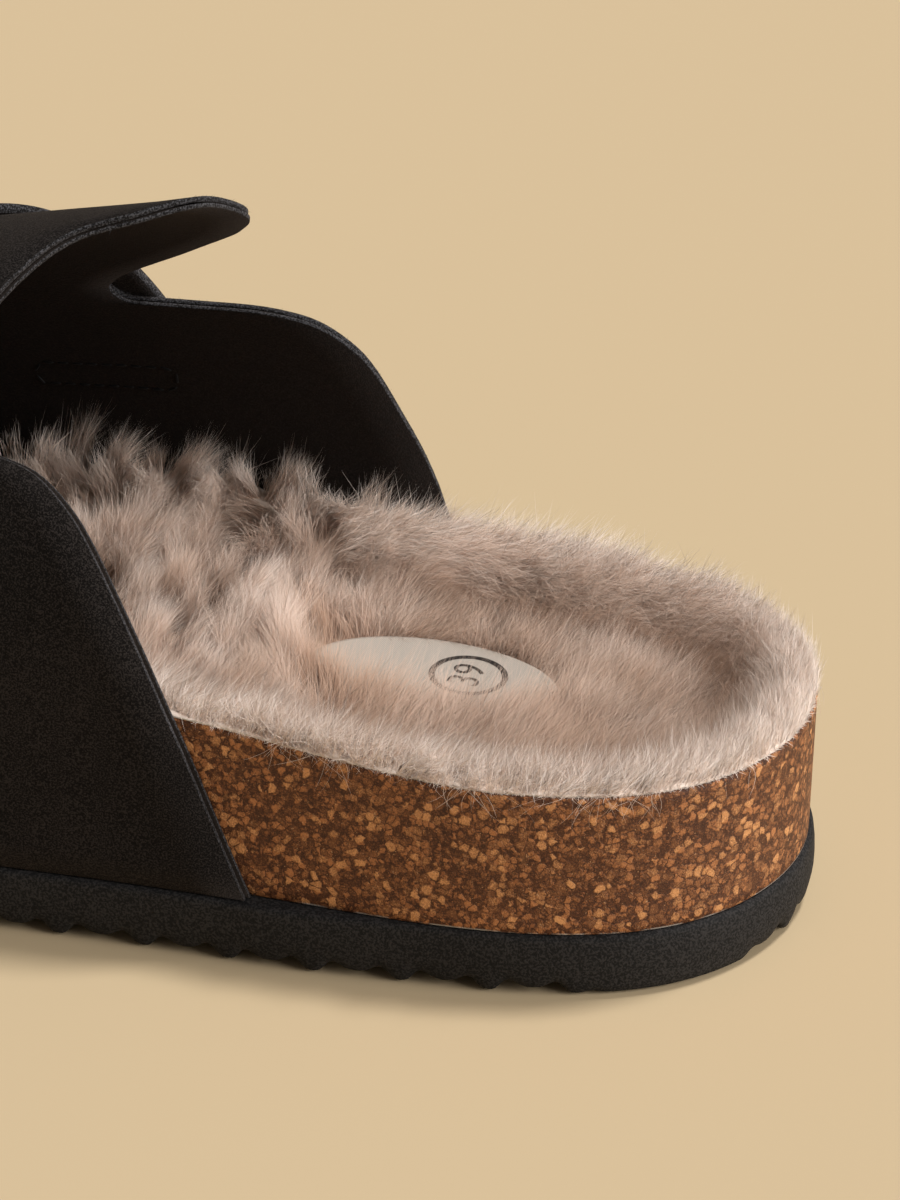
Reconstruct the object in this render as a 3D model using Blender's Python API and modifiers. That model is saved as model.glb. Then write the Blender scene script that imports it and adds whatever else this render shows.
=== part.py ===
"""House clog slipper for the right foot, EU size 39: cork footbed, fur insole, felted upper, foam outsole.

Sizes are in millimetres and become metres when a mesh is made. In the tables x runs forward from the
back of the heel, y towards the inner side of the foot, z up from the floor. The finished object has its
origin on the floor under the middle of the sole.
"""

import math
from collections import namedtuple

import bmesh
import bpy
import numpy as np

MILLIMETRE = 0.001

# Driving dimensions
FOOTBED_LENGTH = 254.0
HEEL_HALF_WIDTH = 35.0
HEEL_DEPTH = 37.0
TOE_TIP_Y = 2.0
OUTSOLE_HEIGHT = 9.5
TOE_SPRING = 7.0
SPRING_START = 180.0
UPPER_WALL = 1.6
STRAP_THICKNESS = 1.4
CLEARANCE = 0.3
SIDE_CLEARANCE = 0.4

# Plan of the footbed: half widths to the inner and the outer side, at distances from the heel
Plan = namedtuple("Plan", "x inner outer")
PLAN = [
    Plan(37, 35.0, 35.0),
    Plan(70, 35.2, 37.0),
    Plan(100, 35.8, 39.5),
    Plan(130, 38.0, 43.5),
    Plan(160, 42.0, 47.0),
    Plan(186, 44.0, 48.0),
    Plan(208, 42.5, 45.0),
    Plan(228, 36.0, 37.0),
    Plan(244, 23.5, 22.5),
]

# Footbed heights above the outsole: the rim on each side and the floor of the cup
Footbed = namedtuple("Footbed", "x inner_rim outer_rim floor")
FOOTBED = [
    Footbed(0, 21.3, 21.3, 13.5),
    Footbed(35, 21.6, 21.4, 13.0),
    Footbed(60, 23.6, 22.2, 13.5),
    Footbed(85, 26.3, 23.0, 14.5),
    Footbed(105, 27.0, 22.5, 15.0),
    Footbed(130, 23.5, 19.5, 14.0),
    Footbed(160, 17.5, 16.0, 12.5),
    Footbed(190, 14.5, 14.5, 11.5),
    Footbed(254, 13.5, 13.5, 11.5),
]
CUP_WALL_RUN = 15.0
CORK_FLARE = 0.3
FLARE_FADE_START = 40.0
FLARE_FADE_RUN = 20.0

# Upper: crown height above the floor, sideways place of the ridge and fullness of the section
Section = namedtuple("Section", "x crown ridge fullness")
SECTIONS = [
    Section(50, 98.0, 0.0, 2.0),
    Section(88, 95.6, 0.0, 2.0),
    Section(100, 92.5, 0.0, 2.0),
    Section(115, 88.7, 0.0, 2.0),
    Section(140, 82.0, 0.0, 2.05),
    Section(170, 73.0, 1.0, 2.15),
    Section(200, 64.0, 2.0, 2.3),
    Section(228, 58.0, 2.0, 2.4),
    Section(258, 54.0, 2.0, 2.4),
]
WALL_SPAN = 30.0
WALL_ABOVE_RIM = 1.3
NOSE_LENGTH = 28.0
NOSE_POWER = 2.6
TOE_EASE = 1.6
TOE_EASE_START = 205.0

# Rear edge of the upper. The girth angle is 0 and 180 at the tops of the upright walls and 90 on the ridge.
RearEdge = namedtuple("RearEdge", "girth x")
REAR_EDGE = [
    RearEdge(-30.0, 70.8),
    RearEdge(0.0, 82.3),
    RearEdge(14.0, 89.0),
    RearEdge(28.0, 97.0),
    RearEdge(34.5, 103.0),
    RearEdge(39.0, 111.0),
    RearEdge(50.0, 121.0),
    RearEdge(62.0, 116.3),
    RearEdge(88.5, 106.2),
    RearEdge(95.0, 98.5),
    RearEdge(103.0, 93.2),
    RearEdge(113.0, 90.2),
    RearEdge(121.0, 88.0),
    RearEdge(127.0, 90.4),
    RearEdge(133.5, 98.9),
    RearEdge(142.0, 111.5),
    RearEdge(144.8, 113.2),
    RearEdge(148.6, 110.2),
    RearEdge(149.4, 98.0),
    RearEdge(150.9, 84.0),
    RearEdge(155.6, 76.0),
    RearEdge(166.0, 69.4),
    RearEdge(176.0, 64.1),
    RearEdge(210.0, 54.0),
]
EDGE_STEPS = 2
LENGTH_ROWS = 20
TOE_CROWDING = 1.7

# Strap over the instep: it slants forward from the outer wing to the ridge
STRAP_HALF_WIDTH = 14.0
STRAP_OUTER_GIRTH = 175.0
STRAP_INNER_GIRTH = 70.0
STRAP_REAR_X = 108.3
STRAP_REAR_GIRTH = 145.0
STRAP_SLANT = 0.44
STRAP_STEPS = 16
STRAP_ACROSS = 4

# Outsole: its ledge round the footbed, the shape of its side, and the scallops of its lower edge
HEEL_LEDGE = 0.6
UPPER_LEDGE = 0.9
LEDGE_RUN = 30.0
Side = namedtuple("Side", "height_share bulge")
OUTSOLE_SIDE = [Side(1.0, 0.0), Side(0.55, 0.4), Side(0.25, 0.1)]
LOWER_EDGE_INSET = 0.8
TREAD_FIELD_INSET = 9.0
SCALLOP_PAIRS = 48
SCALLOP_HEIGHTS = (0.0, 1.5, 1.7, 0.7, 1.7, 1.5)
PLAIN_EDGE_CENTRE = 30.0
PLAIN_EDGE_HALF = 9.0

# Flat pads of the tread that bear on the floor: corners on the inner and the outer side
Pad = namedtuple("Pad", "x inner outer")
HEEL_PAD = [Pad(16, 14.0, -14.0), Pad(34, 22.0, -22.0), Pad(62, 22.0, -23.0)]
FOREFOOT_PAD = [Pad(116, 22.0, -26.0), Pad(148, 29.0, -33.0), Pad(178, 31.0, -34.0)]
PAD_HEIGHT = 0.3
TOOTH_CLEARANCE = 0.2
WAIST_X = 90.0

# Fur insole: the pile, its locks, and the woven patch sewn to it at the heel
INSOLE_INSET = 0.5
EDGE_PILE = 1.0
WALL_PILE = 4.5
WALL_PILE_START = 62.0
WALL_PILE_END = 84.0
PILE = 6.0
PILE_RUN = 8.0
LOCK_LENGTH = 19.0
LOCK_WIDTH = 11.0
LOCK_RISE = 1.9
PATCH_X = 54.5
PATCH_Y = -1.0
PATCH_HALF_LENGTH = 18.0
PATCH_HALF_WIDTH = 11.0
PATCH_THICKNESS = 0.7
PATCH_RECESS = 3.0
PATCH_FLAT = 1.25
PATCH_MARGIN = 1.75
PATCH_TURNS = 24
PATCH_RINGS = 3

FOOTBED_RING = 80
FOOTBED_COLUMNS = 9
DENSE_RING = 480


def smooth_table(at, xs, ys):
    """Values at given places from a monotone cubic through the rows of a table, with no overshoot."""
    xs, ys = np.asarray(xs, float), np.asarray(ys, float)
    width = np.diff(xs)
    slope = np.diff(ys) / width
    tangent = np.zeros(len(xs))
    tangent[0], tangent[-1] = slope[0], slope[-1]
    same_way = slope[:-1] * slope[1:] > 0
    before, after = 2 * width[1:] + width[:-1], width[1:] + 2 * width[:-1]
    safe_before = np.where(same_way, slope[:-1], 1.0)
    safe_after = np.where(same_way, slope[1:], 1.0)
    mean = (before + after) / (before / safe_before + after / safe_after)
    tangent[1:-1] = np.where(same_way, mean, 0.0)
    at = np.clip(np.asarray(at, float), xs[0], xs[-1])
    span = np.clip(np.searchsorted(xs, at, side="right") - 1, 0, len(width) - 1)
    t = (at - xs[span]) / width[span]
    start = (1 + 2 * t) * (1 - t) ** 2 * ys[span] + t * (1 - t) ** 2 * width[span] * tangent[span]
    end = t**2 * (3 - 2 * t) * ys[span + 1] + t**2 * (t - 1) * width[span] * tangent[span + 1]
    return start + end


def smooth_step(t):
    """0 below 0, 1 above 1, and an even S between."""
    t = np.clip(t, 0.0, 1.0)
    return t * t * (3 - 2 * t)


def closed_spline(points, per_span):
    """A smooth closed curve through the points: a periodic cubic on chord lengths."""
    points = np.asarray(points, float)
    count = len(points)
    chord = np.linalg.norm(np.roll(points, -1, 0) - points, axis=1)
    slope = (np.roll(points, -1, 0) - points) / chord[:, None]
    matrix = np.zeros((count, count))
    rows = np.arange(count)
    matrix[rows, rows] = 2 * (chord + np.roll(chord, 1))
    matrix[rows, (rows - 1) % count] = chord
    matrix[rows, (rows + 1) % count] = np.roll(chord, 1)
    right = 3 * (chord[:, None] * np.roll(slope, 1, 0) + np.roll(chord, 1)[:, None] * slope)
    tangent = np.linalg.solve(matrix, right)
    t = np.linspace(0, 1, per_span, endpoint=False)[None, :, None]
    width = chord[:, None, None]
    start, end = points[:, None], np.roll(points, -1, 0)[:, None]
    leave, arrive = tangent[:, None], np.roll(tangent, -1, 0)[:, None]
    curve = (1 + 2 * t) * (1 - t) ** 2 * start + t * (1 - t) ** 2 * width * leave
    curve = curve + t**2 * (3 - 2 * t) * end + t**2 * (t - 1) * width * arrive
    return curve.reshape(-1, 2)


def resample_halves(curve, count):
    """The closed curve with count points, evenly spaced from the heel to the toe along each side."""
    toe = int(np.argmax(curve[:, 0]))
    halves = (curve[: toe + 1], np.vstack([curve[toe:], curve[:1]]))
    sides = []
    for half in halves:
        length = np.concatenate([[0], np.cumsum(np.linalg.norm(np.diff(half, axis=0), axis=1))])
        at = np.linspace(0, length[-1], count // 2 + 1)[:-1]
        sides.append(np.column_stack([np.interp(at, length, half[:, 0]), np.interp(at, length, half[:, 1])]))
    return np.vstack(sides)


def footbed_outline(count):
    """Plan of the footbed, from the back of the heel along the inner side to the toe and back."""
    diagonal = math.sqrt(0.5)
    heel_x, heel_y = HEEL_DEPTH * (1 - diagonal), HEEL_HALF_WIDTH * diagonal
    inner = [(row.x, row.inner) for row in PLAN]
    outer = [(row.x, -row.outer) for row in reversed(PLAN)]
    points = [(0, 0), (heel_x, heel_y), *inner, (FOOTBED_LENGTH, TOE_TIP_Y), *outer, (heel_x, -heel_y)]
    return resample_halves(closed_spline(points, 40), count)


def widened(outline, distance):
    """The outline moved outward by a distance, which may differ from point to point."""
    along = np.roll(outline, -1, 0) - np.roll(outline, 1, 0)
    along /= np.linalg.norm(along, axis=1)[:, None]
    outward = np.column_stack([-along[:, 1], along[:, 0]])
    return outline + outward * np.broadcast_to(distance, len(outline))[:, None]


OUTLINE = footbed_outline(DENSE_RING)


def spring(x):
    """Rise of the sole towards the toe."""
    share = np.clip((x - SPRING_START) / (FOOTBED_LENGTH - SPRING_START), 0, None)
    return TOE_SPRING * share**2


def upper_reach(x):
    """Distance from the footbed's side to the outer face of the upper."""
    ease = TOE_EASE * smooth_step((x - TOE_EASE_START) / (FOOTBED_LENGTH - TOE_EASE_START))
    return SIDE_CLEARANCE + UPPER_WALL + ease


def ledge(outline):
    """Width of the outsole beyond the footbed: narrow round the heel, wide enough for the upper in front."""
    x = outline[:, 0]
    corner = np.where(outline[:, 1] > 0, REAR_EDGE[0].x, REAR_EDGE[-1].x)
    front = upper_reach(x) + UPPER_LEDGE
    return HEEL_LEDGE + (front - HEEL_LEDGE) * smooth_step((x - corner) / LEDGE_RUN + 1)


def edge_distance(x, y):
    """Distance from points of the footbed to its outline."""
    away = np.stack([np.asarray(x)[..., None] - OUTLINE[:, 0], np.asarray(y)[..., None] - OUTLINE[:, 1]])
    return np.sqrt((away**2).sum(0)).min(-1)


def footbed_rims(x):
    """Heights of the inner and the outer rim above the outsole."""
    xs = [row.x for row in FOOTBED]
    inner = smooth_table(x, xs, [row.inner_rim for row in FOOTBED])
    return inner, smooth_table(x, xs, [row.outer_rim for row in FOOTBED])


def footbed_height(x, y):
    """Top of the cork: rims that fall to the floor of the cup over the run of its wall."""
    inner, outer = footbed_rims(x)
    rim = outer + (inner - outer) * smooth_step(0.5 + y / (2 * HEEL_HALF_WIDTH))
    floor = smooth_table(x, [row.x for row in FOOTBED], [row.floor for row in FOOTBED])
    sunk = smooth_step(edge_distance(x, y) / CUP_WALL_RUN)
    return OUTSOLE_HEIGHT + CLEARANCE + spring(x) + rim - (rim - floor) * sunk


def patch_reach(x, y):
    """1 on the edge of the woven patch, less inside it."""
    return np.hypot((x - PATCH_X) / PATCH_HALF_LENGTH, (y - PATCH_Y) / PATCH_HALF_WIDTH)


def locks(x, y):
    """Height of the locks: overlapping tufts in staggered rows, each rising to its tip."""
    row = np.floor(y / LOCK_WIDTH)
    along = np.mod(-x / LOCK_LENGTH + 0.5 * np.mod(row, 2), 1.0)
    rise = np.minimum(along, 4 * (1 - along))
    crown = np.sin(np.pi * np.mod(y / LOCK_WIDTH, 1.0))
    return LOCK_RISE * rise * np.sqrt(crown)


def pile_height(x, y, with_locks=True):
    """Top of the fur: thin at the cut edge, deeper against the upper, pressed flat under the woven patch."""
    inside = smooth_step(edge_distance(x, y) / PILE_RUN)
    walled = smooth_step((x - WALL_PILE_START) / (WALL_PILE_END - WALL_PILE_START))
    edge = EDGE_PILE + (WALL_PILE - EDGE_PILE) * walled
    open_pile = smooth_step((patch_reach(x, y) - PATCH_FLAT) / (PATCH_MARGIN - PATCH_FLAT))
    top = footbed_height(x, y) + CLEARANCE + edge + (PILE - edge) * inside
    top = top - PATCH_RECESS * (1 - open_pile)
    return top + locks(x, y) * inside * open_pile if with_locks else top


FEATHER = widened(OUTLINE, upper_reach(OUTLINE[:, 0]))
FEATHER_TOE = int(np.argmax(FEATHER[:, 0]))
TOE_X, TOE_Y = FEATHER[FEATHER_TOE]


def feather_sides(x):
    """Sideways places of the upper's lower edge on the inner and the outer side."""
    inner = FEATHER[: FEATHER_TOE + 1]
    outer = np.vstack([FEATHER[FEATHER_TOE:], FEATHER[:1]])[::-1]
    return np.interp(x, inner[:, 0], inner[:, 1]), np.interp(x, outer[:, 0], outer[:, 1])


def upper_point(x, girth):
    """Outer face of the upper by distance from the heel and girth angle: an upright wall, then an arch."""
    x, girth = np.broadcast_arrays(np.asarray(x, float), np.asarray(girth, float))
    xs = [row.x for row in SECTIONS]
    ridge = smooth_table(x, xs, [row.ridge for row in SECTIONS])
    fullness = smooth_table(x, xs, [row.fullness for row in SECTIONS])
    base = OUTSOLE_HEIGHT + CLEARANCE + spring(x)
    nose = np.clip((x - (TOE_X - NOSE_LENGTH)) / NOSE_LENGTH, 0, 1)
    closing = (1 - nose**NOSE_POWER) ** (1 / NOSE_POWER)
    crown = (smooth_table(x, xs, [row.crown for row in SECTIONS]) - OUTSOLE_HEIGHT - CLEARANCE) * closing
    is_inner = girth <= 90
    side = np.where(is_inner, *feather_sides(x))
    ridge = ridge + (TOE_Y - ridge) * nose**NOSE_POWER
    wall = (np.where(is_inner, *footbed_rims(x)) + WALL_ABOVE_RIM) * closing
    arch = np.radians(np.clip(girth, 0, 180))
    down_wall = np.clip(np.maximum(-girth, girth - 180) / WALL_SPAN, 0, 1)
    across = np.abs(np.cos(arch)) ** (2 / fullness)
    up = np.abs(np.sin(arch)) ** (2 / fullness)
    y = ridge + (side - ridge) * across
    z = base + wall * (1 - down_wall) + (crown - wall) * up
    return np.stack([x, y, z], -1)


def lifted(x, girth, lift):
    """Points at a height off the upper's outer face, along its normal."""
    step = 0.2
    along = upper_point(x + step, girth) - upper_point(x - step, girth)
    around = upper_point(x, girth + step) - upper_point(x, girth - step)
    normal = np.cross(around, along)
    return upper_point(x, girth) + lift * normal / np.linalg.norm(normal, axis=-1)[..., None]


def ladder(ring, columns):
    """Rungs between the two sides of a ring, as a grid of points from the heel to the toe."""
    half = len(ring) // 2
    inner = ring[: half + 1]
    outer = np.vstack([ring[half:], ring[:1]])[::-1]
    share = np.linspace(0, 1, columns + 1)[None, :, None]
    return inner[:, None] * (1 - share) + outer[:, None] * share


def at_height(plan, z):
    """Plan points with a height."""
    return np.concatenate([plan, np.broadcast_to(z, plan.shape[:-1])[..., None]], -1)


def stacked_rings(*rings):
    """Closed rings of the same count as one grid."""
    return np.stack([np.vstack([ring, ring[:1]]) for ring in rings])


def stitch(coarse, fine):
    """Triangles between a closed ring and one with twice as many points."""
    after = np.roll(coarse, -1, 0)
    start, middle, end = fine[0::2], fine[1::2], np.roll(fine[0::2], -1, 0)
    corners = [(coarse, after, middle), (coarse, middle, start), (after, end, middle)]
    return np.concatenate([np.stack(three, 1) for three in corners])


def pad_corners(rows):
    """Corners of a tread pad on the floor, forward along the inner side and back along the outer."""
    inner = [(row.x, row.inner, 0.0) for row in rows]
    return np.array(inner + [(row.x, row.outer, 0.0) for row in reversed(rows)])


def apron(loop, corners):
    """Triangles from a closed loop of points to the corners of a polygon inside it."""
    nearest = np.linalg.norm(loop[:, None, :2] - corners[None, :, :2], axis=-1).argmin(1)
    after, following = np.roll(nearest, -1), np.roll(loop, -1, 0)
    turns = nearest != after
    at_loop = np.stack([loop, following, corners[nearest]], 1)
    at_pad = np.stack([following[turns], corners[after[turns]], corners[nearest[turns]]], 1)
    return np.concatenate([at_loop, at_pad])


def sole_centre():
    """Middle of the outsole's plan, which becomes the origin."""
    plan = widened(OUTLINE, ledge(OUTLINE) + max(row.bulge for row in OUTSOLE_SIDE))
    return np.array([*(plan.min(0) + plan.max(0)) / 2, 0.0])


CENTRE = sole_centre()


def finish(name, colour, roughness):
    """A plain material for one piece."""
    material = bpy.data.materials.new(name)
    material.use_nodes = True
    shader = material.node_tree.nodes["Principled BSDF"]
    shader.inputs["Base Color"].default_value = (*colour, 1.0)
    shader.inputs["Roughness"].default_value = roughness
    shader.inputs["Metallic"].default_value = 0.0
    return material


def skin(collection, name, material, grids, triangles=None, closed=True):
    """One object from grids of points and loose triangles, with shared edges merged."""
    mesh = bmesh.new()
    for grid in grids:
        points = [[mesh.verts.new((point - CENTRE) * MILLIMETRE) for point in row] for row in grid]
        for row, above in zip(points, points[1:]):
            for a, b, c, d in zip(row, row[1:], above[1:], above):
                mesh.faces.new((a, b, c, d))
    for corners in [] if triangles is None else triangles:
        mesh.faces.new([mesh.verts.new((point - CENTRE) * MILLIMETRE) for point in corners])
    bmesh.ops.remove_doubles(mesh, verts=mesh.verts, dist=1e-6)
    bmesh.ops.dissolve_degenerate(mesh, edges=mesh.edges, dist=1e-7)
    if closed:
        bmesh.ops.recalc_face_normals(mesh, faces=mesh.faces)
    data = bpy.data.meshes.new(name)
    mesh.to_mesh(data)
    mesh.free()
    data.materials.append(material)
    data.shade_smooth()
    data.set_sharp_from_angle(angle=math.radians(40))
    made = bpy.data.objects.new(name, data)
    collection.objects.link(made)
    return made


def thicken(piece, thickness, outward):
    """Gives an open surface its thickness, outward or inward from its faces."""
    solidify = piece.modifiers.new("thickness", "SOLIDIFY")
    solidify.thickness = thickness * MILLIMETRE
    solidify.offset = 1.0 if outward else -1.0


def build_outsole(collection):
    """Moulded foam outsole: tread field with two bearing pads, scalloped lower edge, bulging side."""
    plan = footbed_outline(SCALLOP_PAIRS * len(SCALLOP_HEIGHTS))
    edge = ledge(plan)
    rise = spring(plan[:, 0])
    arc = np.cumsum(np.linalg.norm(plan - np.roll(plan, 1, 0), axis=1))
    from_heel = np.minimum(arc, arc[-1] - arc)
    toothed = smooth_step((np.abs(from_heel - PLAIN_EDGE_CENTRE) - PLAIN_EDGE_HALF) / PLAIN_EDGE_HALF)
    scallop = np.tile(SCALLOP_HEIGHTS, SCALLOP_PAIRS) * toothed
    field = at_height(widened(plan, edge - TREAD_FIELD_INSET), rise + PAD_HEIGHT)
    waist = int(np.argmax(field[:, 0] > WAIST_X))
    tread = []
    loops = np.roll(field, waist, 0)[: 2 * waist + 1], field[waist : len(field) - waist + 1]
    for loop, pad in zip(loops, (HEEL_PAD, FOREFOOT_PAD)):
        tread += [*apron(loop, pad_corners(pad)), pad_corners(pad)]
    rings = [field, at_height(widened(plan, edge - LOWER_EDGE_INSET), rise + scallop + TOOTH_CLEARANCE)]
    for row in reversed(OUTSOLE_SIDE):
        rings.append(at_height(widened(plan, edge + row.bulge), rise + OUTSOLE_HEIGHT * row.height_share))
    grids = [stacked_rings(*rings), ladder(rings[-1], 1)]
    return skin(collection, "outsole", finish("black_foam", (0.022, 0.021, 0.020), 0.75), grids, tread)


def build_midsole(collection):
    """Cork footbed: upright sides that flare a little, and a cupped top."""
    plan = footbed_outline(FOOTBED_RING)
    under = at_height(plan, OUTSOLE_HEIGHT + CLEARANCE + spring(plan[:, 0]))
    flared = widened(plan, CORK_FLARE * (1 - smooth_step((plan[:, 0] - FLARE_FADE_START) / FLARE_FADE_RUN)))
    rim = at_height(flared, footbed_height(plan[:, 0], plan[:, 1]))
    inset = widened(plan, -INSOLE_INSET)
    cup = ladder(inset, FOOTBED_COLUMNS)
    cup = at_height(cup, footbed_height(cup[..., 0], cup[..., 1]))
    inner_rim = at_height(inset, footbed_height(inset[:, 0], inset[:, 1]))
    grids = [ladder(under, 1), stacked_rings(under, rim, inner_rim), cup]
    return skin(collection, "cork_midsole", finish("cork", (0.16, 0.075, 0.033), 0.7), grids)


def build_insole(collection):
    """Fur insole: a thin cut edge, a deep pile with locks, and a hollow for the woven patch."""
    coarse = widened(footbed_outline(FOOTBED_RING), -INSOLE_INSET)
    fine_ring = np.empty((2 * FOOTBED_RING, 2))
    fine_ring[0::2] = coarse
    fine_ring[1::2] = (coarse + np.roll(coarse, -1, 0)) / 2
    under = ladder(coarse, FOOTBED_COLUMNS)
    under = at_height(under, footbed_height(under[..., 0], under[..., 1]) + CLEARANCE)
    over = ladder(fine_ring, 2 * FOOTBED_COLUMNS)
    over = at_height(over, pile_height(over[..., 0], over[..., 1]))
    lower = at_height(coarse, footbed_height(coarse[:, 0], coarse[:, 1]) + CLEARANCE)
    upper = at_height(fine_ring, pile_height(fine_ring[:, 0], fine_ring[:, 1]))
    material = finish("fur", (0.45, 0.34, 0.27), 0.95)
    return skin(collection, "fur_insole", material, [under, over], stitch(lower, upper))


def build_patch(collection):
    """Woven oval patch lying on the pressed fur of the heel."""
    turn = np.linspace(2 * np.pi, 0, PATCH_TURNS + 1)[None]
    reach = np.linspace(0, 1, PATCH_RINGS + 1)[:, None]
    x = PATCH_X + PATCH_HALF_LENGTH * reach * np.cos(turn)
    y = PATCH_Y + PATCH_HALF_WIDTH * reach * np.sin(turn)
    surface = np.stack([x, y, pile_height(x, y, with_locks=False) + CLEARANCE], -1)
    cotton = finish("woven_cotton", (0.6, 0.53, 0.46), 0.9)
    made = skin(collection, "heel_patch", cotton, [surface], closed=False)
    thicken(made, PATCH_THICKNESS, outward=True)
    return made


def rear_edge_lines():
    """Girth angles and rear ends of the lines that run from the rear edge to the toe."""
    rows = np.arange(len(REAR_EDGE))
    at = np.linspace(0, len(REAR_EDGE) - 1, EDGE_STEPS * (len(REAR_EDGE) - 1) + 1)
    girth = smooth_table(at, rows, [row.girth for row in REAR_EDGE])
    return girth, smooth_table(at, rows, [row.x for row in REAR_EDGE])


def build_upper(collection):
    """Felted upper: one wall, closed at the toe, open below and at the heel, a tongue between two slits."""
    girth, rear = rear_edge_lines()
    to_toe = (1 - np.linspace(0, 1, LENGTH_ROWS + 1)) ** TOE_CROWDING
    x = TOE_X - (TOE_X - rear)[None] * to_toe[:, None]
    surface = upper_point(x, girth[None])
    felt = finish("black_felt", (0.018, 0.016, 0.015), 0.95)
    made = skin(collection, "upper", felt, [surface], closed=False)
    thicken(made, UPPER_WALL, outward=False)
    return made


def build_strap(collection):
    """Instep strap: a band with round ends that runs from the ridge to the outer wing, across the slit."""
    share = (1 - np.cos(np.linspace(0, np.pi, STRAP_STEPS + 1))) / 2
    girth = STRAP_OUTER_GIRTH + (STRAP_INNER_GIRTH - STRAP_OUTER_GIRTH) * share
    middle = STRAP_REAR_X + STRAP_SLANT * (STRAP_REAR_GIRTH - girth) + STRAP_HALF_WIDTH
    line = upper_point(middle, girth)
    length = np.concatenate([[0], np.cumsum(np.linalg.norm(np.diff(line, axis=0), axis=1))])
    to_end = np.minimum(length, length[-1] - length)
    short = np.clip(1 - to_end / STRAP_HALF_WIDTH, 0, 1)
    half_width = STRAP_HALF_WIDTH * np.sqrt(1 - short**2)
    share = np.linspace(-1, 1, STRAP_ACROSS + 1)
    x = middle[:, None] + half_width[:, None] * share[None]
    surface = lifted(x, np.broadcast_to(girth[:, None], x.shape), CLEARANCE)
    felt = finish("strap_felt", (0.018, 0.016, 0.015), 0.95)
    made = skin(collection, "instep_strap", felt, [surface], closed=False)
    thicken(made, STRAP_THICKNESS, outward=True)
    return made


def main():
    for old in list(bpy.data.objects):
        bpy.data.objects.remove(old, do_unlink=True)
    slipper = bpy.data.collections.new("house_clog_slipper")
    bpy.context.scene.collection.children.link(slipper)
    for build in (build_outsole, build_midsole, build_insole, build_patch, build_upper, build_strap):
        build(slipper)


main()
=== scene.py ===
import math

import bmesh
import bpy
import numpy as np
from mathutils import Matrix, Vector


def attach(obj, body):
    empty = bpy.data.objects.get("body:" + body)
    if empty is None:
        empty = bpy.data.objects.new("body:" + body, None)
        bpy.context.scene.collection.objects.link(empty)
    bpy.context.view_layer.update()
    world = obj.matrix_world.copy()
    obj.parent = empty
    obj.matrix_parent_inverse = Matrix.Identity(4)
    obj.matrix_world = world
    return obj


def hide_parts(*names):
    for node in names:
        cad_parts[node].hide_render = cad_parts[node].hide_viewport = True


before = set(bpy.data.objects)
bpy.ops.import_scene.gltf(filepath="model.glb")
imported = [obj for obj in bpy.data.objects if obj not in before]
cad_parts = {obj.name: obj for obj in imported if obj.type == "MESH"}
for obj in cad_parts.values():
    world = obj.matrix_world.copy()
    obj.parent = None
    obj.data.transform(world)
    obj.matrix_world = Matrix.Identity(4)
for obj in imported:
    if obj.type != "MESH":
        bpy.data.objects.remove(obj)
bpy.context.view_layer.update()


# Outsole.
# One moulded piece of black foam. Its side bulges a little, and its lower edge is cut into scallops,
# a long tooth and a short one by turns. It carries everything else.

footbed_length, heel_half_width, heel_depth, toe_tip_y = 254.0, 35.0, 37.0, 2.0
plan_x = (37, 70, 100, 130, 160, 186, 208, 228, 244)
plan_inner = (35.0, 35.2, 35.8, 38.0, 42.0, 44.0, 42.5, 36.0, 23.5)
plan_outer = (35.0, 37.0, 39.5, 43.5, 47.0, 48.0, 45.0, 37.0, 22.5)
outsole_height, toe_spring, spring_start = 9.5, 7.0, 180.0
clearance, side_clearance, upper_wall = 0.3, 0.4, 1.6
inner_wing_corner, outer_wing_corner = 70.8, 54.0


def smooth_step(t):
    """0 below 0, 1 above 1, and 3t^2 - 2t^3 between."""
    t = np.clip(t, 0.0, 1.0)
    return t * t * (3 - 2 * t)


def smooth_table(at, xs, ys):
    """Cubic pieces through the rows of a table, with harmonic-mean slopes so that they never overshoot."""
    xs, ys = np.asarray(xs, float), np.asarray(ys, float)
    width, slope = np.diff(xs), np.diff(ys) / np.diff(xs)
    same_way = slope[:-1] * slope[1:] > 0
    before, after = 2 * width[1:] + width[:-1], width[1:] + 2 * width[:-1]
    first, second = np.where(same_way, slope[:-1], 1.0), np.where(same_way, slope[1:], 1.0)
    mean = np.where(same_way, (before + after) / (before / first + after / second), 0.0)
    tangent = np.concatenate([slope[:1], mean, slope[-1:]])
    at = np.clip(np.asarray(at, float), xs[0], xs[-1])
    span = np.clip(np.searchsorted(xs, at, side="right") - 1, 0, len(width) - 1)
    t, w = (at - xs[span]) / width[span], width[span]
    start = (1 + 2 * t) * (1 - t) ** 2 * ys[span] + t * (1 - t) ** 2 * w * tangent[span]
    return start + t**2 * (3 - 2 * t) * ys[span + 1] + t**2 * (t - 1) * w * tangent[span + 1]


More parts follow.
